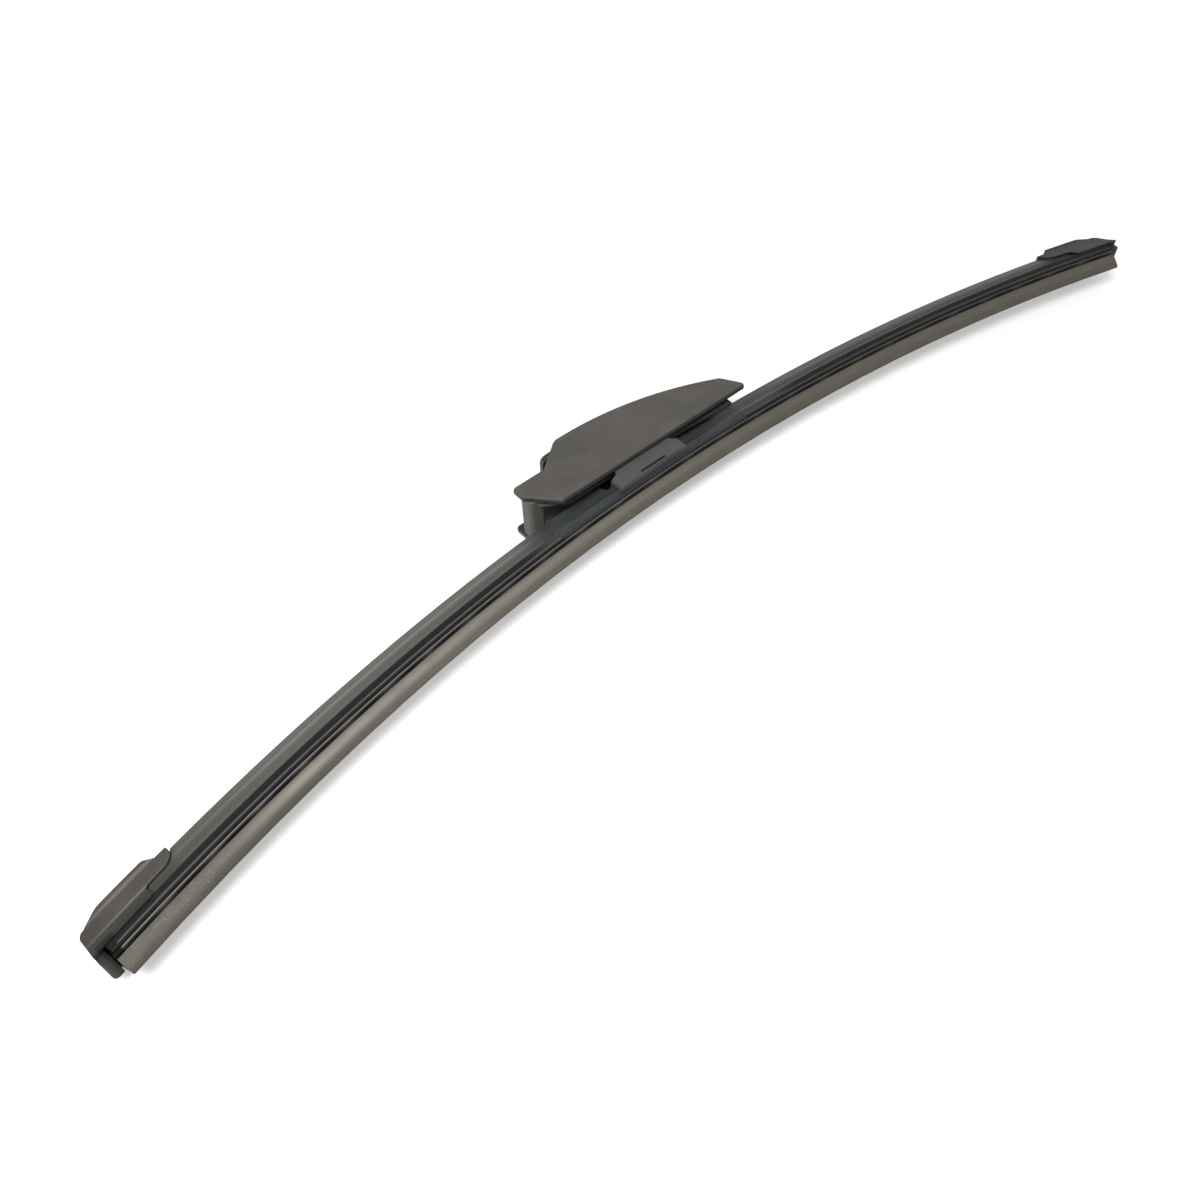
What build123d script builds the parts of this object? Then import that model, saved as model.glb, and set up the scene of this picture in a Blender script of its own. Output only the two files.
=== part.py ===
from build123d import *
from math import cos, degrees, sin, sqrt
import os

os.makedirs("parts", exist_ok=True)

# Wiper blade without a frame, lying on its side. X runs along the blade, Y points away from the glass,
# Z is the pivot axis. The origin is on the pivot axis, midway across the blade.

# The bow of the whole blade
blade_length = 404.0
bow_radius = 712.0
bow_offset = 5.2
pivot_height = 15.8

# Spring rails
rail_thickness = 0.9
rail_width = 3.0
rail_gap = 2.0
rail_end_gap = 4.8
rail_fit = 0.08

# Wiping rubber
head_top = 1.6
head_half = 1.9
seat_half = 3.3
flange_top = -1.1
flange_bottom = -1.65
flange_half = 3.95
neck_half = 0.6
shoulder_top = -2.15
shoulder_bottom = -2.6
shoulder_half = 3.0
lip_tip = -6.0
lip_half = 0.4
rubber_end_gap = 3.2

# Spoiler strip
spoiler_top = 9.5
spoiler_top_half = 1.35
spoiler_top_round = 1.1
ridge_height = 6.0
ridge_half = 3.0
knee_height = 3.5
knee_half = 3.7
skirt_bottom = 1.45
skirt_half = 5.4
undercut_top = 0.45
undercut_half = 4.5
bead_top = -0.05
bead_bottom = -0.6
bead_half = 4.85
hook_half = 4.5
hook_depth = 0.95
hook_mouth_half = 3.45
spoiler_end_gap = 0.8
spoiler_base_gap = 0.2

# End caps
cap_length = 28.0
cap_wing_length = 18.0
cap_nose_round = 4.0
cap_wing_round = 1.5
cap_end_wall = 2.9
cap_wall_bottom = -1.5
cap_wall_half = 4.2
cap_wall_round = 1.2
cap_top = 9.9
cap_top_half = 2.6
cap_top_round = 0.7
cap_ridge_height = 4.6
cap_ridge_half = 4.5
cap_skirt_half = 6.2
cap_skirt_bottom = 0.9
cap_roof = 1.1
cap_fit = 0.2
crown_length = 24.3
crown_top = 12.5
crown_crest_x = 10.5
crown_crest_round = 12.0
crown_front_drop = 0.8
crown_front_slope = 1.8
crown_half = 2.3
crown_edge_round = 1.3
crown_front_round = 1.2
end_lean = 1.9
end_shoulder = 9.2
end_shoulder_round = 3.0

# Base clamp
base_half_length = 37.8
cheek_half_length = 13.8
cheek_wall = 1.3
cheek_round = 2.2
cheek_block_top = 4.6
cheek_block_bottom = -0.2
ear_radius = 5.0
window_length = 10.0
window_height = 0.9
window_center = 0.75
window_depth = 2.2
deck_height = 5.0
deck_front_x = -15.2
deck_tail_x = 14.6

# Pivot pin
pin_radius = 2.0
pin_seat_fit = 0.02
pin_running_fit = 0.06

# Arm hook that the connector takes: a flat strip bent round the barrel
arm_width = 9.0
arm_thickness = 4.0
arm_side_fit = 0.2
arm_roof_fit = 0.8
side_gap = 0.3

# Hook adapter
adapter_wall = 1.2
adapter_bottom = 6.8
adapter_tail_lap = 0.5
adapter_tail_top = 12.0
adapter_tail_bottom = 5.3
adapter_web_x = 24.0
adapter_web_top = 16.8
adapter_web_height = 3.4
adapter_web_length = 2.4
adapter_shoulder_x = 10.0
adapter_rise_x = -19.0
adapter_guide = 1.9
adapter_chin_x = -28.0
barrel_radius = 4.3
bar_x = -35.8
bar_drop = 1.2
bar_length = 5.6
bar_depth = 5.0
bar_round = 1.4
stub_radius = 1.4
stub_length = 1.1
stub_fit = 0.1
stub_end_fit = 0.2

# Lift cover
cover_wall = 1.6
cover_bottom = 5.8
cover_front_x = -39.3
cover_tail_x = 45.7
nose_drop = 0.3
nose_chin_drop = 4.9
nose_corner_x = -31.0
step_x = -27.0
hump_start_x = -17.0
hump_apex_x = -13.9
hump_radius = 118.0
roof_tail_x = 41.0
roof_end_x = 37.0
nose_round = 1.5
hump_round = 3.5
tail_round = 1.2
cover_edge_round = 1.0
visor_front_x = -23.0
visor_root = 3.0
visor_half = 5.5
visor_round = 2.0

# Worked out from the sizes above
rail_inner = rail_gap / 2
rail_outer = rail_inner + rail_width
rail_half_thickness = rail_thickness / 2
half_length = blade_length / 2
bow_center = Vector(bow_offset, -pivot_height - bow_radius, 0)
bow_axis = Axis(bow_center, (0, 0, -1))
cap_cavity_top = cap_top - cap_roof
fin_trim = cap_cavity_top - cap_fit
channel_half = arm_width / 2 + arm_side_fit
cheek_inner = channel_half + adapter_wall + side_gap
cheek_outer = cheek_inner + cheek_wall
cover_inner = cheek_outer + side_gap
cover_half = cover_inner + cover_wall
bar_half = cover_inner - side_gap
bar_height = pivot_height - bar_drop
barrel_top = pivot_height + barrel_radius
adapter_top = barrel_top + adapter_guide
adapter_tail_x = base_half_length + adapter_tail_lap
nose_top = barrel_top - nose_drop
nose_chin = nose_top - nose_chin_drop
roof_over_pivot = barrel_top + arm_thickness + arm_roof_fit + cover_wall
hump_center = roof_over_pivot - sqrt(hump_radius**2 - hump_apex_x**2)
reach = 2 * cover_half
open_height = 2 * roof_over_pivot

# Side view of the connector: local y is the height above the rails
side = Plane(origin=(0, -pivot_height, 0), x_dir=(1, 0, 0), z_dir=(0, 0, 1))


def station(arc):
    """Cross-section plane at an arc length from the blade's middle: local x is away from the glass."""
    angle = arc / bow_radius
    outward = Vector(sin(angle), cos(angle), 0)
    return Plane(bow_center + outward * bow_radius, x_dir=outward, z_dir=(cos(angle), -sin(angle), 0))


def sweep_angle(start, end):
    """Angle in degrees that a strip takes on the bow from one arc length to another."""
    return degrees((end - start) / bow_radius)


def base_arc(x):
    """Arc length from the blade's middle to a place on the connector."""
    return x - bow_offset


def span_rectangle(low_x, high_x, half_width, mode=Mode.ADD):
    """Rectangle in a cross-section from one height to another, even about the middle."""
    with Locations(((low_x + high_x) / 2, 0)):
        Rectangle(high_x - low_x, 2 * half_width, mode=mode)


def rail_channel_section():
    """Slots for the rails and the rubber's head, open towards the glass between the hooks."""
    with BuildSketch() as section:
        span_rectangle(-rail_half_thickness - rail_fit, rail_half_thickness + rail_fit, rail_outer + rail_fit)
        span_rectangle(0, head_top + rail_fit, head_half + rail_fit)
        span_rectangle(-2 * hook_depth, 0, hook_mouth_half)
    return section.sketch


def carrier_section():
    """Section of a strip that clasps both rails: a fin, hollow flanks, an undercut and a beaded hook."""
    with BuildSketch() as section:
        with BuildLine():
            Polyline((spoiler_top, 0), (spoiler_top, spoiler_top_half), (ridge_height, ridge_half),
                     (knee_height, knee_half), (skirt_bottom, skirt_half), (undercut_top, undercut_half),
                     (bead_top, undercut_half), (bead_top, bead_half), (bead_bottom, bead_half),
                     (-hook_depth, hook_half), (-hook_depth, 0))
            mirror(about=Plane.XZ)
        make_face()
        fillet(section.vertices().group_by(Axis.X)[-1], radius=spoiler_top_round)
        add(rail_channel_section(), mode=Mode.SUBTRACT)
    return section.sketch


def cap_section():
    """Outer section of an end cap's sleeve: a rounded top on two flanks that widen into a skirt."""
    with BuildSketch() as section:
        with BuildLine():
            Polyline((cap_top, 0), (cap_top, cap_top_half), (cap_ridge_height, cap_ridge_half),
                     (cap_skirt_bottom, cap_skirt_half), (cap_skirt_bottom, 0))
            mirror(about=Plane.XZ)
        make_face()
        fillet(section.vertices().group_by(Axis.X)[-1], radius=cap_top_round)
    return section.sketch


def crown_section():
    """Section of the raised crown on an end cap: upright, with a rounded top."""
    with BuildSketch() as section:
        span_rectangle(cap_ridge_height, crown_top, crown_half)
        fillet(section.vertices().group_by(Axis.X)[-1], radius=crown_edge_round)
    return section.sketch


def cap_outline():
    """Side view of an end cap, from its end inwards: crown, sleeve and the shorter wings below."""
    foot_corner = (0, cap_wall_bottom)
    end_corner = (end_lean, end_shoulder)
    crest_corner = (crown_crest_x, crown_top)
    crown_corner = (crown_length - crown_front_slope, crown_top - crown_front_drop)
    nose_corner = (cap_length, cap_ridge_height)
    wing_corner = (cap_wing_length, cap_ridge_height)
    with BuildSketch() as outline:
        with BuildLine():
            Polyline(foot_corner, end_corner, crest_corner, crown_corner, (crown_length, cap_top),
                     (cap_length, cap_top), nose_corner, wing_corner, (cap_wing_length, cap_wall_bottom),
                     close=True)
        make_face()
        for corner, radius in ((foot_corner, cap_wall_round), (end_corner, end_shoulder_round),
                               (crest_corner, crown_crest_round), (crown_corner, crown_front_round),
                               (nose_corner, cap_nose_round), (wing_corner, cap_wing_round)):
            fillet(outline.vertices().sort_by_distance(corner)[0], radius=radius)
    return outline.sketch


def cap_cavity_section():
    """Hollow of an end cap: clears the trimmed fin, the ridges and the skirt, and is open below."""
    fin_share = (spoiler_top - fin_trim) / (spoiler_top - ridge_height)
    fin_half = spoiler_top_half + fin_share * (ridge_half - spoiler_top_half)
    skirt_inner = skirt_half + cap_fit
    with BuildSketch() as section:
        with BuildLine():
            Polyline((cap_cavity_top, 0), (cap_cavity_top, fin_half + cap_fit),
                     (ridge_height, ridge_half + cap_fit), (skirt_bottom, skirt_inner),
                     (-cap_top, skirt_inner), (-cap_top, 0))
            mirror(about=Plane.XZ)
        make_face()
    return section.sketch


def end_axis(side_sign):
    """Axis that turns a section from an end of the blade inwards."""
    return Axis(bow_center, (0, 0, side_sign))


def end_side(side_sign):
    """Side-view plane at an end: local x runs inwards along the blade, local y away from the glass."""
    plane = station(side_sign * half_length)
    return Plane(plane.origin, x_dir=plane.z_dir * -side_sign, z_dir=(0, 0, -side_sign))


def hump_height(x, inset=0):
    """Height of the cover's roof above the rails, or of the same curve set inwards."""
    return hump_center + sqrt((hump_radius - inset) ** 2 - (x - hump_apex_x) ** 2)


def hump_arc(start_x, end_x, inset=0):
    """Arc along the cover's roof from one place to another."""
    middle_x = (start_x + end_x) / 2
    points = [(x, hump_height(x, inset)) for x in (start_x, middle_x, end_x)]
    ThreePointArc(*points)


# Wiping rubber: one extrusion with the grooves for the rails
rubber_end = half_length - rubber_end_gap
groove_wall = rail_inner - rail_fit
groove_top = rail_half_thickness + rail_fit
with BuildPart() as wiping_rubber:
    with BuildSketch(station(-rubber_end)):
        with BuildLine():
            Polyline((head_top, 0), (head_top, head_half), (groove_top, head_half), (groove_top, groove_wall),
                     (-groove_top, groove_wall), (-groove_top, seat_half), (flange_top, seat_half),
                     (flange_top, flange_half), (flange_bottom, flange_half), (flange_bottom, neck_half),
                     (shoulder_top, neck_half), (shoulder_top, shoulder_half),
                     (shoulder_bottom, shoulder_half), (lip_tip, lip_half), (lip_tip, 0))
            mirror(about=Plane.XZ)
        make_face()
    revolve(axis=bow_axis, revolution_arc=sweep_angle(-rubber_end, rubber_end))
wiping_rubber.part.label = "wiping_rubber"
export_step(wiping_rubber.part, "parts/wiping_rubber.step")

# Spring rails: two flat strips in the rubber's side grooves
rail_end = half_length - rail_end_gap
for rail_name, rail_side in (("rail_near", 1), ("rail_far", -1)):
    with BuildPart() as rail:
        with BuildSketch(station(-rail_end)):
            with Locations((0, rail_side * (rail_inner + rail_outer) / 2)):
                Rectangle(rail_thickness, rail_width)
        revolve(axis=bow_axis, revolution_arc=sweep_angle(-rail_end, rail_end))
    rail.part.label = rail_name
    export_step(rail.part, f"parts/{rail_name}.step")

# Spoiler strips: a fin with hollow flanks, its last stretch trimmed to slip under the end cap
spoiler_end = half_length - cap_end_wall - spoiler_end_gap
fin_end = half_length - cap_length - cap_fit
for spoiler_name, inner_arc, side_sign in (
    ("spoiler_left", base_arc(-base_half_length - spoiler_base_gap), -1),
    ("spoiler_right", base_arc(base_half_length + spoiler_base_gap), 1),
):
    trim_arc = side_sign * fin_end
    spans = ((inner_arc, trim_arc, spoiler_top), (trim_arc, side_sign * spoiler_end, fin_trim))
    with BuildPart() as spoiler:
        for near_arc, far_arc, fin_height in spans:
            with BuildSketch(station(near_arc)):
                add(carrier_section())
                if fin_height < spoiler_top:
                    span_rectangle(fin_height, 2 * spoiler_top, skirt_half, mode=Mode.SUBTRACT)
            revolve(axis=end_axis(-side_sign), revolution_arc=sweep_angle(0, abs(far_arc - near_arc)))
    spoiler.part.label = spoiler_name
    export_step(spoiler.part, f"parts/{spoiler_name}.step")

# End caps: a sleeve over the spoiler's end with a raised crown, an end wall and short wings
for cap_name, side_sign in (("end_cap_left", -1), ("end_cap_right", 1)):
    inward = end_axis(side_sign)
    end_station = station(side_sign * half_length)
    with BuildPart() as end_cap:
        with BuildSketch(end_station):
            add(cap_section())
        revolve(axis=inward, revolution_arc=sweep_angle(0, cap_length))
        with BuildSketch(end_station):
            add(crown_section())
        revolve(axis=inward, revolution_arc=sweep_angle(0, crown_length))
        with BuildSketch(end_station):
            span_rectangle(cap_wall_bottom, cap_ridge_height, cap_wall_half)
        revolve(axis=inward, revolution_arc=sweep_angle(0, cap_end_wall))
        with BuildSketch(end_side(side_sign)):
            add(cap_outline())
        extrude(amount=reach, both=True, mode=Mode.INTERSECT)
        with BuildSketch(station(side_sign * (half_length - cap_end_wall))):
            add(cap_cavity_section())
        revolve(axis=inward, revolution_arc=sweep_angle(0, cap_length), mode=Mode.SUBTRACT)
    end_cap.part.label = cap_name
    export_step(end_cap.part, f"parts/{cap_name}.step")

# Base clamp: the spoiler's section carried on, lowered under the arm's hook, with cheeks for the pivot pin
base_start = base_arc(-base_half_length)
base_sweep = sweep_angle(0, 2 * base_half_length)
cheek_foot_half = cheek_half_length - cheek_round
cheek_foot = Plane(origin=(0, cheek_block_bottom - pivot_height, 0), x_dir=(1, 0, 0), z_dir=(0, 1, 0))
with BuildPart() as base_clamp:
    with BuildSketch(station(base_start)):
        add(carrier_section())
    revolve(axis=bow_axis, revolution_arc=base_sweep)
    with BuildSketch(station(base_arc(deck_front_x))):
        span_rectangle(deck_height, open_height, reach)
    revolve(axis=bow_axis, revolution_arc=sweep_angle(deck_front_x, deck_tail_x), mode=Mode.SUBTRACT)
    with BuildSketch(cheek_foot):
        RectangleRounded(2 * cheek_half_length, 2 * cheek_outer, cheek_round)
    extrude(amount=cheek_block_top - cheek_block_bottom)
    with BuildSketch(station(base_start)):
        add(rail_channel_section())
    revolve(axis=bow_axis, revolution_arc=base_sweep, mode=Mode.SUBTRACT)
    with BuildSketch(side.offset(cheek_inner)):
        with Locations((0, (cheek_block_bottom + cheek_block_top) / 2)):
            Rectangle(2 * cheek_foot_half, cheek_block_top - cheek_block_bottom)
        with Locations((0, pivot_height)):
            Circle(ear_radius)
        make_hull()
    cheek = extrude(amount=cheek_wall)
    mirror(cheek, about=Plane.XY)
    with BuildSketch(side.offset(cheek_outer)):
        with Locations((0, window_center)):
            Rectangle(window_length, window_height)
    window = extrude(amount=-window_depth, mode=Mode.SUBTRACT)
    mirror(window, about=Plane.XY, mode=Mode.SUBTRACT)
    with BuildSketch():
        Circle(pin_radius + pin_seat_fit)
    extrude(amount=reach, both=True, mode=Mode.SUBTRACT)
base_clamp.part.label = "base_clamp"
export_step(base_clamp.part, "parts/base_clamp.step")

# Pivot pin: plain steel, flush with the outer faces of the cheeks
with BuildPart() as pivot_pin:
    with BuildSketch():
        Circle(pin_radius)
    extrude(amount=cheek_outer, both=True)
pivot_pin.part.label = "pivot_pin"
export_step(pivot_pin.part, "parts/pivot_pin.step")

# Hook adapter: two walls with the arm between them, the barrel inside its hook, and the cover's cross bar
with BuildPart() as hook_adapter:
    with BuildSketch(side.offset(channel_half)):
        with BuildLine():
            Polyline((bar_x, bar_height + bar_depth / 2), (adapter_rise_x, adapter_top),
                     (adapter_shoulder_x, adapter_top), (adapter_tail_x, adapter_tail_top),
                     (adapter_tail_x, adapter_tail_bottom), (deck_tail_x, adapter_bottom),
                     (adapter_chin_x, adapter_bottom), (bar_x, bar_height - bar_depth / 2), close=True)
        make_face()
    wall = extrude(amount=adapter_wall)
    mirror(wall, about=Plane.XY)
    with BuildSketch(side):
        with Locations((bar_x, bar_height)):
            RectangleRounded(bar_length, bar_depth, bar_round)
    extrude(amount=bar_half, both=True)
    with BuildSketch(side):
        with Locations((bar_x, bar_height)):
            Circle(stub_radius)
    extrude(amount=bar_half + stub_length, both=True)
    with BuildSketch(side):
        with Locations((adapter_web_x, adapter_web_top)):
            Rectangle(adapter_web_length, adapter_web_height, align=(Align.CENTER, Align.MAX))
    extrude(amount=channel_half, both=True)
    with BuildSketch():
        Circle(barrel_radius)
    extrude(amount=channel_half, both=True)
    with BuildSketch():
        Circle(pin_radius + pin_running_fit)
    extrude(amount=reach, both=True, mode=Mode.SUBTRACT)
hook_adapter.part.label = "hook_adapter"
export_step(hook_adapter.part, "parts/hook_adapter.step")

# Lift cover: a hood open below, at its tail and over the nose, with a visor above the arm's mouth
with BuildPart() as lift_cover:
    with BuildSketch(side) as cover_outline:
        with BuildLine():
            Polyline((cover_tail_x, cover_bottom), (nose_corner_x, cover_bottom), (cover_front_x, nose_chin),
                     (cover_front_x, nose_top), (step_x, nose_top), (hump_start_x, hump_height(hump_start_x)))
            hump_arc(hump_start_x, roof_tail_x)
            Line((roof_tail_x, hump_height(roof_tail_x)), (cover_tail_x, cover_bottom))
        make_face()
        for corner, radius in (((hump_start_x, hump_height(hump_start_x)), hump_round),
                               ((cover_front_x, nose_top), nose_round),
                               ((cover_front_x, nose_chin), nose_round),
                               ((cover_tail_x, cover_bottom), tail_round)):
            fillet(cover_outline.vertices().sort_by_distance(corner)[0], radius=radius)
    extrude(amount=cover_half, both=True)
    with BuildSketch(side):
        with BuildLine():
            Polyline((hump_start_x, hump_height(hump_start_x, cover_wall)), (hump_start_x, open_height),
                     (2 * cover_front_x, open_height), (2 * cover_front_x, 0), (2 * cover_tail_x, 0),
                     (2 * cover_tail_x, open_height), (roof_end_x, open_height),
                     (roof_end_x, hump_height(roof_end_x, cover_wall)))
            hump_arc(roof_end_x, hump_start_x, cover_wall)
        make_face()
    extrude(amount=cover_inner, both=True, mode=Mode.SUBTRACT)
    rim = lift_cover.edges().filter_by_position(Axis.Z, cover_half, cover_half)
    rim += lift_cover.edges().filter_by_position(Axis.Z, -cover_half, -cover_half)
    fillet(rim.group_by(Axis.Y)[1:], radius=cover_edge_round)
    with BuildSketch(side):
        with BuildLine():
            visor_end_x = hump_start_x + visor_root
            hump_arc(visor_end_x, visor_front_x)
            Line((visor_front_x, hump_height(visor_front_x)),
                 (visor_front_x, hump_height(visor_front_x, cover_wall)))
            hump_arc(visor_front_x, visor_end_x, cover_wall)
            Line((visor_end_x, hump_height(visor_end_x, cover_wall)), (visor_end_x, hump_height(visor_end_x)))
        make_face()
    extrude(amount=visor_half, both=True)
    fillet(lift_cover.edges().filter_by(Axis.Y).filter_by_position(Axis.X, visor_front_x, visor_front_x),
           radius=visor_round)
    with BuildSketch(side):
        with Locations((bar_x, bar_height)):
            Circle(stub_radius + stub_fit)
    extrude(amount=bar_half + stub_length + stub_end_fit, both=True, mode=Mode.SUBTRACT)
lift_cover.part.label = "lift_cover"
export_step(lift_cover.part, "parts/lift_cover.step")
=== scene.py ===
# %% [markdown]
# A flat wiper blade lies on its side on a white table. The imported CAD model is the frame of
# this scene: every shape is already in place, in metres, so the lesson is about the light, the
# camera and, most of all, the finishes: dusty rubber, satin spoiler strips and matt moulded
# plastic, each with the streaks and the worn edges that a used blade has.

import bpy
from mathutils import Matrix, Vector


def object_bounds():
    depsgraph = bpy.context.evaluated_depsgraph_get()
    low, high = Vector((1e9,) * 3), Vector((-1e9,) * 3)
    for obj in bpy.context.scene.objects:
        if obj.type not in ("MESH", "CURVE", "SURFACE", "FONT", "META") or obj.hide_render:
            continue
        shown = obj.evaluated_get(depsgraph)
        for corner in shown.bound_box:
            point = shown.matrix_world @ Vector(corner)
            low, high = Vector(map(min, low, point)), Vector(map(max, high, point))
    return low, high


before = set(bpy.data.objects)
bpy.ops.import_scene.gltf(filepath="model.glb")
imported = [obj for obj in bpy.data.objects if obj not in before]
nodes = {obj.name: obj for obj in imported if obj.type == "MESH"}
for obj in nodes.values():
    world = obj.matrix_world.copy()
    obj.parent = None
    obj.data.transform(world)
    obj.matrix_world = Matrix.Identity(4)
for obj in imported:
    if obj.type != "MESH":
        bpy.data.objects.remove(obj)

MM = 0.001
cad_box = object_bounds()
bpy.ops.object.select_all(action="DESELECT")
print("nodes:", ", ".join(sorted(nodes)))
print("size in mm:", [round((high - low) / MM, 1) for low, high in zip(*cad_box)])

# %% [markdown]
# Colours are looked at through the plain Standard view, so that a colour shows about as it is
# written. A film-like view would grey the white table and flatten the dark plastics.

# %% View
view = bpy.context.scene.view_settings
view.view_transform = "Standard"
print("view:", view.view_transform)

# %% [markdown]
# The camera stands above the near end and looks along the blade. Its place and its three axes
# were found by matching points of the blade to points of the picture. A camera looks along its
# own -Z with +Y up, so the matrix takes the picture's right, the reverse of its down, and the
# reverse of the viewing direction as its columns.

# %% Camera
PICTURE_SIDE = 1200
FOCAL_PIXELS = 1100
SENSOR_WIDTH = 36
NEAREST_SEEN = 10 * MM
camera_place = Vector((-166.97, -184.33, 240.97)) * MM
picture_right = Vector((0.74945, -0.66193, -0.01284))
picture_down = Vector((-0.52469, -0.58202, -0.62125))
looking = Vector((0.40375, 0.47234, -0.78351))

bpy.ops.object.camera_add()
camera = bpy.context.object
camera.name = "camera"
camera.data.sensor_width = SENSOR_WIDTH
camera.data.lens = SENSOR_WIDTH * FOCAL_PIXELS / PICTURE_SIDE
camera.data.clip_start = NEAREST_SEEN
turn = Matrix((picture_right, -picture_down, -looking)).transposed()
camera.matrix_world = Matrix.Translation(camera_place) @ turn.to_4x4()
bpy.context.scene.camera = camera
print("lens in mm:", round(camera.data.lens, 2))

# %% [markdown]
# The blade lies on the flat side of its cover, the lowest part of it, so the table is a level
# plane just under that side. A plane is all that a table needs to be: it only catches the shadow.

# %% Table
TABLE_SIDE = 8
TABLE_CLEARANCE = 0.05 * MM
lowest_corner = cad_box[0]
table_height = lowest_corner[2] - TABLE_CLEARANCE
bpy.ops.mesh.primitive_plane_add(size=TABLE_SIDE, location=(0, 0, table_height))
table = bpy.context.object
table.name = "table"
print("table height in mm:", round(table.location.z / MM, 2))

# %% [markdown]
# Materials are graphs of nodes, and a few short helpers keep them readable. One adds a node and
# fills its inputs, each with a number or with a wire from another node. Two do sums. One tells
# the rays that a viewer sees from the rays that only carry light.

# %% Node helpers
def add_node(tree, kind, inputs=None, **settings):
    """New node with settings; each input is given a number, a colour or another node's socket."""
    node = tree.nodes.new(kind)
    for name, value in settings.items():
        setattr(node, name, value)
    for name, value in (inputs or {}).items():
        if isinstance(value, bpy.types.NodeSocket):
            tree.links.new(value, node.inputs[name])
        else:
            node.inputs[name].default_value = value
    return node


def sum_of(tree, operation, *terms):
    """One sum on numbers or sockets."""
    return add_node(tree, "ShaderNodeMath", dict(enumerate(terms)), operation=operation).outputs[0]


def times(tree, first, second):
    """Product of two numbers or sockets; of two masks it is where both are bright."""
    return sum_of(tree, "MULTIPLY", first, second)


def seen_rays(tree):
    """1 for a ray from the camera, straight or by way of a mirror or a glass; 0 for other light."""
    ray = add_node(tree, "ShaderNodeLightPath").outputs
    straight_or_mirrored = sum_of(tree, "MAXIMUM", ray["Is Camera Ray"], ray["Is Glossy Ray"])
    return sum_of(tree, "MAXIMUM", straight_or_mirrored, ray["Is Transmission Ray"])


# %% [markdown]
# The table is plain white. A diffuse surface keeps the blade's soft shadow, and a little light of
# its own, seen by the camera and in reflections only, lifts the rest of it to white without
# lighting the blade. It grows away from the blade, where the lamp's light falls off. From below
# the table is clear, so that the blade's other side can be looked at through it.

# %% Table finish
PAPER_WHITE = (0.86, 0.855, 0.85, 1)
GLOW_NEAR = 0.36
GLOW_FAR = 0.6
GLOW_REACH = (0.15, 0.6)
table_paint = bpy.data.materials.new("table_white")
table_paint.use_nodes = True
tree = table_paint.node_tree
tree.nodes.clear()
paper = add_node(tree, "ShaderNodeBsdfDiffuse", {"Color": PAPER_WHITE})
spot = add_node(tree, "ShaderNodeTexCoord").outputs["Object"]
distance = add_node(tree, "ShaderNodeVectorMath", {0: spot}, operation="LENGTH").outputs["Value"]
lift = add_node(tree, "ShaderNodeMapRange",
                {"Value": distance, "From Min": GLOW_REACH[0], "From Max": GLOW_REACH[1],
                 "To Min": GLOW_NEAR, "To Max": GLOW_FAR})
strength = times(tree, seen_rays(tree), lift.outputs[0])
glow = add_node(tree, "ShaderNodeEmission", {"Strength": strength})
both = add_node(tree, "ShaderNodeAddShader", {0: paper.outputs[0], 1: glow.outputs[0]})
below = add_node(tree, "ShaderNodeNewGeometry").outputs["Backfacing"]
camera_ray = add_node(tree, "ShaderNodeLightPath").outputs["Is Camera Ray"]
unseen = times(tree, below, camera_ray)
clear = add_node(tree, "ShaderNodeBsdfTransparent")
top = add_node(tree, "ShaderNodeMixShader", {0: unseen, 1: both.outputs[0], 2: clear.outputs[0]})
add_node(tree, "ShaderNodeOutputMaterial", {"Surface": top.outputs[0]})
table.data.materials.append(table_paint)
print("finish:", table_paint.name)

# %% [markdown]
# Soft studio light: an even white room lights the blade from all sides, and one round lamp, as
# wide as a dinner plate, gives the rest. It hangs over the camera's shoulder, above the blade's
# near end, so the near end is the brightest and most of the shadow hides behind the blade. A
# larger lamp would blur that shadow away. Seen straight or mirrored, the room is plain white.

# %% Light
WHITE = (1, 1, 1, 1)
ROOM_LIGHT = 0.4
BACKDROP_LIGHT = 1
LAMP_WIDTH = 0.3
LAMP_WATTS = 4.2
world = bpy.data.worlds.new("white_room")
bpy.context.scene.world = world
world.use_nodes = True
tree = world.node_tree
tree.nodes.clear()
room = add_node(tree, "ShaderNodeBackground", {"Color": WHITE, "Strength": ROOM_LIGHT})
backdrop = add_node(tree, "ShaderNodeBackground", {"Color": WHITE, "Strength": BACKDROP_LIGHT})
pick = add_node(tree, "ShaderNodeMixShader",
                {0: seen_rays(tree), 1: room.outputs[0], 2: backdrop.outputs[0]})
add_node(tree, "ShaderNodeOutputWorld", {"Surface": pick.outputs[0]})

lamp_place = Vector((-0.32, -0.2, 0.66))
bpy.ops.object.light_add(type="AREA", location=lamp_place)
lamp = bpy.context.object
lamp.name = "soft_lamp"
lamp.data.shape = "DISK"
lamp.data.size = LAMP_WIDTH
lamp.data.energy = LAMP_WATTS
lamp.rotation_euler = (-lamp_place).to_track_quat("-Z", "Y").to_euler()
print("lamp watts:", lamp.data.energy)

# %% [markdown]
# Extruded strips carry marks that run along them, and this blade is bowed, so straight X, Y and Z
# would let a streak run off the strip. Two sums turn a point into its place on the bow: the
# arc along the blade from its middle, and the height above the spring rails. Together with Z,
# across the blade, they give every finish a frame of its own, in millimetres.

# %% Places on the bow
BOW_RADIUS = 712 * MM
BOW_MIDDLE = 5.2 * MM
PIVOT_HEIGHT = 15.8 * MM
bow_center = Vector((BOW_MIDDLE, -PIVOT_HEIGHT - BOW_RADIUS, 0))


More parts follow.
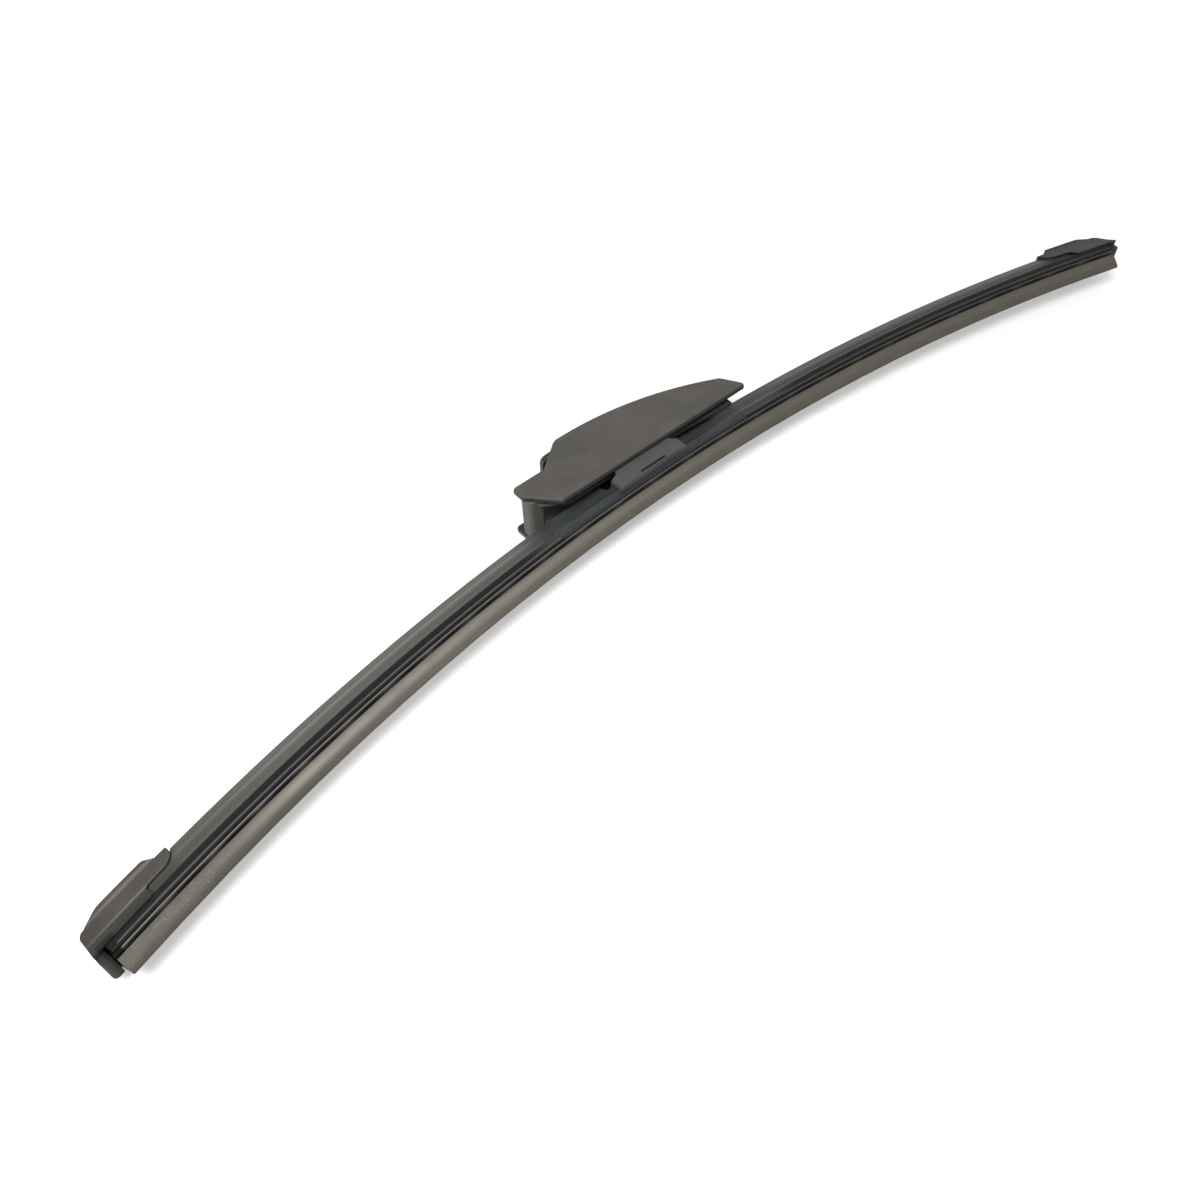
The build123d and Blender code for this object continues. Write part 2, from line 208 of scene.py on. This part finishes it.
def bow_place(tree):
    """Arc, height and across sockets in millimetres, for the point that is shaded."""
    point = add_node(tree, "ShaderNodeTexCoord").outputs["Object"]
    split = add_node(tree, "ShaderNodeSeparateXYZ", {0: point}).outputs
    along = sum_of(tree, "SUBTRACT", split["X"], bow_center.x)
    away = sum_of(tree, "SUBTRACT", split["Y"], bow_center.y)
    square = sum_of(tree, "MULTIPLY_ADD", along, along, times(tree, away, away))
    radius = sum_of(tree, "SQRT", square)
    height = sum_of(tree, "DIVIDE", sum_of(tree, "SUBTRACT", radius, BOW_RADIUS), MM)
    angle = sum_of(tree, "ARCTAN2", along, away)
    arc = times(tree, angle, BOW_RADIUS / MM)
    across = sum_of(tree, "DIVIDE", split["Z"], MM)
    return arc, height, across


# %% [markdown]
# Four more helpers make most of a finish. A stretched noise gives grain, blotches and streaks,
# by how often it repeats in a millimetre along, up and across the blade. A zone is a soft step
# from one place to another. A tint goes from one colour to another where a mask is bright, and
# the last does the same with a number.

# %% Grain, zones and tints
def grain(tree, place, per_mm, detail=3.0):
    """Noise from 0 to 1 that repeats so many times in a millimetre along, up and across."""
    spot = add_node(tree, "ShaderNodeCombineXYZ", dict(enumerate(place))).outputs[0]
    spread = add_node(tree, "ShaderNodeMapping", {"Vector": spot, "Scale": per_mm}).outputs[0]
    noise = add_node(tree, "ShaderNodeTexNoise", {"Vector": spread, "Scale": 1.0, "Detail": detail})
    return noise.outputs["Fac"]


def zone(tree, value, start, end):
    """0 before start, 1 after end, with a soft step between them; start may be the larger."""
    step = add_node(tree, "ShaderNodeMapRange", {"Value": value, "From Min": start, "From Max": end},
                    interpolation_type="SMOOTHSTEP")
    return step.outputs[0]


def tint(tree, mask, under, over):
    """Colour that goes from one to another by a mask; each is a colour or a socket."""
    layer = add_node(tree, "ShaderNodeMix", data_type="RGBA")
    for socket, value in ((layer.inputs[0], mask), (layer.inputs[6], under), (layer.inputs[7], over)):
        if isinstance(value, bpy.types.NodeSocket):
            tree.links.new(value, socket)
        else:
            socket.default_value = (*value, 1)
    return layer.outputs[2]


def spread_between(tree, mask, low, high):
    """Number that goes from low to high with a mask."""
    return sum_of(tree, "MULTIPLY_ADD", mask, high - low, low)


# %% [markdown]
# Moulded and extruded edges are never razor sharp. The Bevel node rounds the shading of an edge
# without touching the mesh, and where its rounded normal departs from the flat one there is an
# edge, which is just where handling rubs a part pale.

# %% Rounded and rubbed edges
EDGE_MATCH = (0.985, 0.85)


def rounded_edges(tree, radius_mm):
    """Rounded normal, and a mask that is 1 on the edges."""
    rounded = add_node(tree, "ShaderNodeBevel", {"Radius": radius_mm * MM}, samples=6).outputs[0]
    flat = add_node(tree, "ShaderNodeNewGeometry").outputs["True Normal"]
    match = add_node(tree, "ShaderNodeVectorMath", {0: rounded, 1: flat}, operation="DOT_PRODUCT")
    return rounded, zone(tree, match.outputs["Value"], *EDGE_MATCH)


# %% [markdown]
# Every finish starts alike: a material with rounded edges, one colour and its own place on the
# bow. More colours are laid over the first, as a painter glazes, each where a mask is bright. At
# the end the colour, the roughness and a fine relief are wired into the shader.

# %% A new finish
class Finish:
    """A material in the making: its nodes, its colour so far, and the place of the shaded point."""

    def __init__(self, name, edge_mm, specular, color):
        self.material = bpy.data.materials.new(name)
        self.material.use_nodes = True
        self.tree = self.material.node_tree
        self.shader = self.tree.nodes["Principled BSDF"]
        self.shader.inputs["Specular IOR Level"].default_value = specular
        self.normal, self.edges = rounded_edges(self.tree, edge_mm)
        self.place = bow_place(self.tree)
        self.color = color

    def lay(self, over, mask, share=1.0):
        """Lay a colour over what is there, where the mask is bright, as strong as the share says."""
        if share < 1:
            mask = times(self.tree, mask, share)
        self.color = tint(self.tree, mask, self.color, over)

    def close(self, roughness, relief, depth_mm):
        """Wire the colour, the roughness and the relief into the shader."""
        bump = add_node(self.tree, "ShaderNodeBump",
                        {"Height": relief, "Normal": self.normal, "Strength": 1.0,
                         "Distance": depth_mm * MM})
        self.tree.links.new(self.color, self.shader.inputs["Base Color"])
        self.tree.links.new(roughness, self.shader.inputs["Roughness"])
        self.tree.links.new(bump.outputs[0], self.shader.inputs["Normal"])
        print("finish:", self.material.name, "nodes:", len(self.tree.nodes))


# %% [markdown]
# The wiping rubber is a brown-grey extrusion, dusty from use and scuffed at its near end. Its
# flank is painted lighter towards the near end, as painted light from the lamp over it. A pale
# band along its wedge, about a third of the way down, is a painted highlight of the rounded wedge,
# also brighter near the lamp; it fades out at the very near end. The lip is painted darker, as
# painted shade, most at the near end. The neck above the wedge is painted black, as the shade in
# its groove, and the flange over it shows as a thin grey line, a painted highlight that is brighter
# near the lamp. Inside the cap both are painted black, as the shade of the recess. Each zone could
# be a piece of its own, but the real strip is one extrusion, so it is one rubber with zones by
# height and by arc.

# %% Wiping rubber
LAMP_LIGHT_REACH = (60.0, -190.0)
WEDGE_HIGHLIGHT_HEIGHT, WEDGE_HIGHLIGHT_HALF = -3.6, 1.7
WEDGE_HIGHLIGHT_FADE = (-178.0, -138.0)
SCUFFED_END = (-130.0, -190.0)
LIP_HEIGHT, LIP_END = (-3.9, -5.8), (-90.0, -160.0)
NECK_HEIGHT = (-2.2, -2.1)
FLANGE_HEIGHT = (-1.7, -1.62)
INSIDE_THE_CAP = (-195.8, -196.8)
FLANK_FAR, FLANK_PAINTED_LAMP_LIGHT = (0.088, 0.083, 0.068), (0.155, 0.139, 0.117)
WEDGE_HIGHLIGHT_FAR, WEDGE_HIGHLIGHT_NEAR = (0.112, 0.106, 0.087), (0.39, 0.35, 0.3)
STREAK_BROWN, BLOTCH_BROWN = (0.12, 0.113, 0.093), (0.165, 0.14, 0.118)
SCUFF_GREY, SCUFF_PALE = (0.21, 0.205, 0.16), (0.4, 0.38, 0.34)
LIP_PAINTED_SHADE = (0.075, 0.07, 0.058)
NECK_PAINTED_SHADE = (0.012, 0.012, 0.012)
FLANGE_HIGHLIGHT_FAR, FLANGE_HIGHLIGHT_NEAR = (0.085, 0.084, 0.078), (0.19, 0.187, 0.173)
RECESS_PAINTED_SHADE = (0.01, 0.01, 0.01)


def crease(tree, height, middle, half_width):
    """Mask of a thin line along the blade at one height."""
    offset = sum_of(tree, "ABSOLUTE", sum_of(tree, "SUBTRACT", height, middle))
    return zone(tree, offset, half_width, 0.0)


rubber = Finish("strip_rubber", 0.25, 0.15, FLANK_FAR)
tree, place = rubber.tree, rubber.place
arc, height, across = place
streaks = grain(tree, place, (0.025, 1.6, 1.6))
blotches = grain(tree, place, (0.12, 0.35, 0.35))
dust = grain(tree, place, (2.2, 3.0, 3.0), 5.0)
painted_lamp_light = zone(tree, arc, *LAMP_LIGHT_REACH)
# Painted light: the flank is lighter towards the near end, as lit more by the lamp over it.
rubber.lay(FLANK_PAINTED_LAMP_LIGHT, painted_lamp_light)
# Painted highlight: a pale band along the rounded wedge, brighter near the lamp.
wedge_highlight = times(tree, crease(tree, height, WEDGE_HIGHLIGHT_HEIGHT, WEDGE_HIGHLIGHT_HALF), zone(tree, arc, *WEDGE_HIGHLIGHT_FADE))
rubber.lay(tint(tree, painted_lamp_light, WEDGE_HIGHLIGHT_FAR, WEDGE_HIGHLIGHT_NEAR), wedge_highlight)
rubber.lay(STREAK_BROWN, streaks, 0.35)
rubber.lay(BLOTCH_BROWN, zone(tree, blotches, 0.45, 0.75), 0.35)
scuffed = times(tree, zone(tree, arc, *SCUFFED_END), zone(tree, blotches, 0.42, 0.6))
rubber.lay(SCUFF_GREY, scuffed, 0.22)
rubber.lay(SCUFF_PALE, times(tree, zone(tree, dust, 0.52, 0.66), scuffed), 0.5)
# Painted shade: the lip is darker, most at the near end.
rubber.lay(LIP_PAINTED_SHADE, times(tree, zone(tree, height, *LIP_HEIGHT), zone(tree, arc, *LIP_END)), 0.75)
# Painted shade: the neck groove above the wedge is black.
above_wedge = zone(tree, height, *NECK_HEIGHT)
rubber.lay(NECK_PAINTED_SHADE, above_wedge)
# Painted highlight: the flange is a grey line, brighter near the lamp.
rubber.lay(tint(tree, painted_lamp_light, FLANGE_HIGHLIGHT_FAR, FLANGE_HIGHLIGHT_NEAR), zone(tree, height, *FLANGE_HEIGHT))
# Painted shade: black inside the cap's recess.
rubber.lay(RECESS_PAINTED_SHADE, times(tree, above_wedge, zone(tree, arc, *INSIDE_THE_CAP)))
rubber.close(spread_between(tree, streaks, 0.62, 0.85), sum_of(tree, "ADD", streaks, dust), 0.05)

# %% [markdown]
# The spoiler strips are a satin black elastomer that has greyed. Light lies on their upper
# flanks, and a paler line along the ridge is a painted highlight. They are painted darker towards
# the skirt, as shade, and towards the far end, as painted falloff of the lamp's light, which also
# dims the ridge line and the bead. Below the skirt the undercut is painted black, as shade, and a
# thin bead shows grey. Next to the connector and the near cap the strip takes on their tone, so
# that the joints hardly show. Inside the caps the strip is painted black, as the shade of the
# recess.

# %% Spoiler strips
LAMP_FALLOFF_REACH = (-120.0, 90.0)
LOWER_FLANK_SHADE_HEIGHT = (8.0, 1.6)
RIDGE_HEIGHT, RIDGE_HALF = 6.05, 1.0
SKIRT_SHADE = (2.9, 1.5)
UNDER_SKIRT = (1.46, 1.36)
BEAD_TOP, BEAD_BOTTOM = (0.02, -0.06), (-0.6, -0.45)
BY_THE_CAP, ABOVE_SKIRT = (-135.0, -172.0), (1.5, 3.0)
BY_THE_CONNECTOR, ABOVE_BEAD = (58.0, 44.0), (0.0, 0.2)
GREY_NEAR, GREY_PAINTED_FALLOFF = (0.165, 0.165, 0.15), (0.11, 0.112, 0.104)
STREAK_GREY = (0.07, 0.07, 0.064)
LOWER_FLANK_PAINTED_SHADE = (0.014, 0.014, 0.014)
RIDGE_PAINTED_HIGHLIGHT = (0.24, 0.235, 0.215)
SKIRT_PAINTED_SHADE = (0.03, 0.03, 0.03)
UNDERCUT_PAINTED_SHADE = (0.012, 0.012, 0.013)
BEAD_GREY = (0.125, 0.125, 0.115)
EDGE_GREY = (0.2, 0.195, 0.185)
CAP_TONE, CONNECTOR_TONE = (0.062, 0.06, 0.054), (0.05, 0.053, 0.055)
spoiler = Finish("spoiler_black", 0.3, 0.17, GREY_NEAR)
tree, place = spoiler.tree, spoiler.place
arc, height, across = place
streaks = grain(tree, place, (0.012, 1.1, 1.1))
fine = grain(tree, place, (0.6, 5.0, 5.0))
painted_lamp_falloff = zone(tree, arc, *LAMP_FALLOFF_REACH)
# Painted light falloff: the strip is darker towards the far end, away from the lamp.
spoiler.lay(GREY_PAINTED_FALLOFF, painted_lamp_falloff)
spoiler.lay(STREAK_GREY, streaks, 0.8)
# Painted shade: the lower flank is darker, more so at the far end.
lower_flank_shade = times(tree, zone(tree, height, *LOWER_FLANK_SHADE_HEIGHT), spread_between(tree, painted_lamp_falloff, 0.3, 1.0))
spoiler.lay(LOWER_FLANK_PAINTED_SHADE, lower_flank_shade)
# Painted highlight: a paler line along the ridge.
ridge_highlight = crease(tree, height, RIDGE_HEIGHT, RIDGE_HALF)
spoiler.lay(RIDGE_PAINTED_HIGHLIGHT, times(tree, ridge_highlight, spread_between(tree, painted_lamp_falloff, 0.65, 0.1)))
# Painted shade: darker towards the skirt edge.
spoiler.lay(SKIRT_PAINTED_SHADE, zone(tree, height, *SKIRT_SHADE), 0.55)
# Painted shade: the undercut below the skirt is black.
spoiler.lay(UNDERCUT_PAINTED_SHADE, zone(tree, height, *UNDER_SKIRT))
bead = times(tree, zone(tree, height, *BEAD_TOP), zone(tree, height, *BEAD_BOTTOM))
spoiler.lay(BEAD_GREY, times(tree, bead, spread_between(tree, painted_lamp_falloff, 0.85, 0.4)))
spoiler.lay(EDGE_GREY, spoiler.edges, 0.08)
by_the_cap = times(tree, zone(tree, arc, *BY_THE_CAP), zone(tree, height, *ABOVE_SKIRT))
spoiler.lay(CAP_TONE, by_the_cap, 0.5)
from_middle = sum_of(tree, "ABSOLUTE", arc)
by_the_connector = zone(tree, from_middle, *BY_THE_CONNECTOR)
spoiler.lay(CONNECTOR_TONE, times(tree, by_the_connector, zone(tree, height, *ABOVE_BEAD)))
# Painted shade: black inside the cap's recess.
spoiler.lay(RECESS_PAINTED_SHADE, zone(tree, arc, *INSIDE_THE_CAP))
spoiler.close(spread_between(tree, streaks, 0.42, 0.6), fine, 0.015)

# %% [markdown]
# End caps, cover, base and adapter are matt moulded plastics: one recipe with its own colours for
# each. Soft clouds come from handling, a few pale specks are dust, and the edges are rubbed paler
# where the clouds are bright. A fine grain, from the blasted surface of the mould, is the relief.

# %% Moulded plastic
PLASTIC_RELIEF = 0.02


def moulded(name, dark, light, rubbed, rub=0.45):
    """Finish of a matt moulded plastic, and the sockets of its roughness and its grain."""
    finish = Finish(name, 0.35, 0.17, dark)
    tree, place = finish.tree, finish.place
    clouds = grain(tree, place, (0.09, 0.16, 0.16), 4.0)
    specks = grain(tree, place, (1.1, 1.1, 1.1), 5.0)
    blasted = grain(tree, place, (5.0, 5.0, 5.0), 2.0)
    finish.lay(light, zone(tree, clouds, 0.3, 0.7))
    finish.lay(rubbed, zone(tree, specks, 0.56, 0.72), 0.12)
    finish.lay(rubbed, times(tree, finish.edges, zone(tree, clouds, 0.25, 0.6)), rub)
    return finish, spread_between(tree, clouds, 0.5, 0.66), blasted


# %% [markdown]
# An end cap has two creases along each side, where its crown rises from the sleeve and where the
# sleeve breaks into the wings. They are painted pale, as highlights where the creases catch the
# light. The wings below are painted dark, darkest at their foot, as shade, and the recess behind the
# near end wall is painted black, as shade. The near cap's end and the far cap are painted darker
# too, as shade. A mould would have a sharp edge for each crease; here it is a line of colour laid
# over the real break of the solid.

# %% End caps
WING_TOP, WING_FADE = (4.6, 4.1), (4.4, 0.9)
CROWN_CREASE, CROWN_CREASE_HALF = 10.4, 0.9
WING_CREASE, WING_CREASE_HALF = 4.75, 0.65
NEAR_CAP_END, FAR_CAP = (-188.0, -202.0), (100.0, 190.0)
RECESS_TOP, RECESS_OUTER, RECESS_INNER = (3.0, 2.0), (-200.4, -199.9), (-195.0, -196.0)
WING_PAINTED_SHADE, WING_FOOT_PAINTED_SHADE = (0.038, 0.037, 0.033), (0.02, 0.02, 0.019)
CREASE_PAINTED_HIGHLIGHT = (0.19, 0.18, 0.165)
NEAR_CAP_END_PAINTED_SHADE, FAR_CAP_PAINTED_SHADE = (0.042, 0.04, 0.035), (0.031, 0.028, 0.024)
cap, roughness, blasted = moulded(
    "cap_plastic", (0.072, 0.065, 0.056), (0.095, 0.086, 0.074), (0.19, 0.18, 0.16))
tree = cap.tree
arc, height, across = cap.place
# Painted shade: the wings are dark, darkest at their foot.
cap.lay(WING_PAINTED_SHADE, zone(tree, height, *WING_TOP), 0.8)
cap.lay(WING_FOOT_PAINTED_SHADE, zone(tree, height, *WING_FADE), 0.6)
# Painted highlights: the two creases are pale lines.
crease_highlights = sum_of(tree, "MAXIMUM", crease(tree, height, CROWN_CREASE, CROWN_CREASE_HALF),
                 crease(tree, height, WING_CREASE, WING_CREASE_HALF))
cap.lay(CREASE_PAINTED_HIGHLIGHT, crease_highlights, 0.85)
# Painted shade: the near cap's end and the far cap are darker.
cap.lay(NEAR_CAP_END_PAINTED_SHADE, zone(tree, arc, *NEAR_CAP_END), 0.6)
cap.lay(FAR_CAP_PAINTED_SHADE, zone(tree, arc, *FAR_CAP), 0.85)
recess = times(tree, zone(tree, arc, *RECESS_OUTER), zone(tree, arc, *RECESS_INNER))
# Painted shade: black in the recess behind the near end wall.
cap.lay(RECESS_PAINTED_SHADE, times(tree, zone(tree, height, *RECESS_TOP), recess))
cap.close(roughness, blasted, PLASTIC_RELIEF)

# %% [markdown]
# The base clamp is a moulded saddle that grips the rails. It is blacker and cooler than the cover,
# which shades it. Only its two cheeks, which stand out beside the pivot pin, are a paler grey. They
# are told by how far across the blade a point lies, and the dark claws below by its height, so
# the one moulding stays one piece with one finish.

# %% Base clamp
CHEEK_ACROSS = (5.4, 6.4)
CLAW_HEIGHT = (-0.12, -0.3)
CHEEK_GREY = (0.097, 0.094, 0.094)
CLAW_BLACK = (0.03, 0.032, 0.034)
base, roughness, blasted = moulded(
    "base_plastic", (0.04, 0.044, 0.047), (0.054, 0.059, 0.062), (0.12, 0.122, 0.122))
tree = base.tree
arc, height, across = base.place
base.lay(CHEEK_GREY, zone(tree, sum_of(tree, "ABSOLUTE", across), *CHEEK_ACROSS), 0.85)
base.lay(CLAW_BLACK, zone(tree, height, *CLAW_HEIGHT))
base.close(roughness, blasted, PLASTIC_RELIEF)

# %% [markdown]
# The hook adapter rocks on the pivot pin and carries the hook of the arm. Its walls are painted
# near black, as the shade under the cover, while the cross bar at its front, on which the cover
# turns, is painted a lighter grey, as the light that reaches it. One mask by the arc tells the bar
# from the walls.

# %% Hook adapter
BAR_ARC = (-35.0, -38.5)
BAR_PAINTED_LIGHT = (0.145, 0.145, 0.135)
# Painted shade: the adapter's walls are near black, as the shade under the cover.
adapter, roughness, blasted = moulded(
    "adapter_plastic", (0.034, 0.037, 0.042), (0.048, 0.051, 0.056), (0.1, 0.1, 0.1))
tree = adapter.tree
arc, height, across = adapter.place
# Painted light: the cross bar is a lighter grey, where the light reaches it.
adapter.lay(BAR_PAINTED_LIGHT, zone(tree, arc, *BAR_ARC))
adapter.close(roughness, blasted, PLASTIC_RELIEF)

# %% [markdown]
# The lift cover is what sun and hands reach: a warm charcoal hood. Its hollow is painted dark, as
# shade, with paler rims painted as highlights where its edges catch the light, and the edge that
# faces the glass is painted nearly black, as shade. It is one moulding, so inside and outside are
# told apart by two things: whether a point lies between the side walls, and which way it faces on
# the cover itself. Both turn with the cover, so they hold when it is lifted.

# %% Lift cover
BETWEEN_WALLS = (7.95, 7.85)
NOT_OUTWARD, NOT_ENDWAYS = (0.2, 0.1), (0.8, 0.7)
TO_THE_GLASS = (-0.4, -0.8)
RIM_MM = 1.3
HOLLOW_PAINTED_SHADE, RIM_PAINTED_HIGHLIGHT = (0.03, 0.031, 0.033), (0.13, 0.128, 0.12)
LOWER_EDGE_PAINTED_SHADE = (0.022, 0.022, 0.023)
cover, roughness, blasted = moulded(
    "cover_plastic", (0.086, 0.081, 0.073), (0.108, 0.1, 0.091), (0.19, 0.18, 0.165), 0.15)
tree = cover.tree
arc, height, across = cover.place
facing = add_node(tree, "ShaderNodeTexCoord").outputs["Normal"]
facing = add_node(tree, "ShaderNodeSeparateXYZ", {0: facing}).outputs
between_walls = zone(tree, sum_of(tree, "ABSOLUTE", across), *BETWEEN_WALLS)
not_endways = zone(tree, sum_of(tree, "ABSOLUTE", facing["X"]), *NOT_ENDWAYS)
turned_in = times(tree, zone(tree, facing["Y"], *NOT_OUTWARD), not_endways)
rounded, rim_highlights = rounded_edges(tree, RIM_MM)
# Painted shade in the hollow, with painted highlights on its rims.
cover.lay(tint(tree, rim_highlights, HOLLOW_PAINTED_SHADE, RIM_PAINTED_HIGHLIGHT), times(tree, between_walls, turned_in))
# Painted shade: the edge that faces the glass is nearly black.
cover.lay(LOWER_EDGE_PAINTED_SHADE, zone(tree, facing["Y"], *TO_THE_GLASS), 0.85)
cover.close(roughness, blasted, PLASTIC_RELIEF)

# %% [markdown]
# The two spring rails are strip steel under a black coat, rubbed bright at its edges, and the
# pivot pin is bare drawn steel. A coat is a paint, so only the pin is a metal to the shader. Both
# have fine scratches along their length instead of a grain, as rolled and drawn steel has.

# %% Steel
COAT_DARK, COAT_LIGHT, COAT_RUBBED = (0.022, 0.022, 0.024), (0.04, 0.04, 0.042), (0.3, 0.29, 0.28)
STEEL_DARK, STEEL_LIGHT = (0.5, 0.5, 0.49), (0.66, 0.66, 0.65)
rail = Finish("rail_steel", 0.1, 0.5, COAT_DARK)
scratches = grain(rail.tree, rail.place, (0.05, 6.0, 6.0))
rail.lay(COAT_LIGHT, scratches)
rail.lay(COAT_RUBBED, rail.edges, 0.5)
rail.close(spread_between(rail.tree, scratches, 0.3, 0.5), scratches, 0.01)

pin = Finish("pin_steel", 0.15, 0.5, STEEL_DARK)
pin.shader.inputs["Metallic"].default_value = 1.0
scratches = grain(pin.tree, pin.place, (7.0, 7.0, 0.3))
pin.lay(STEEL_LIGHT, scratches)
pin.close(spread_between(pin.tree, scratches, 0.25, 0.42), scratches, 0.005)

# %% [markdown]
# Each node of the frame takes its finish. A node keeps its own mesh and place: only its material
# slot changes.

# %% Dress the blade
finishes = {
    "wiping_rubber": rubber,
    "spoiler_left": spoiler,
    "spoiler_right": spoiler,
    "end_cap_left": cap,
    "end_cap_right": cap,
    "base_clamp": base,
    "hook_adapter": adapter,
    "lift_cover": cover,
    "rail_near": rail,
    "rail_far": rail,
    "pivot_pin": pin,
}
for node_name, finish in finishes.items():
    slots = nodes[node_name].data.materials
    slots.clear()
    slots.append(finish.material)
print("dressed:", len(finishes))
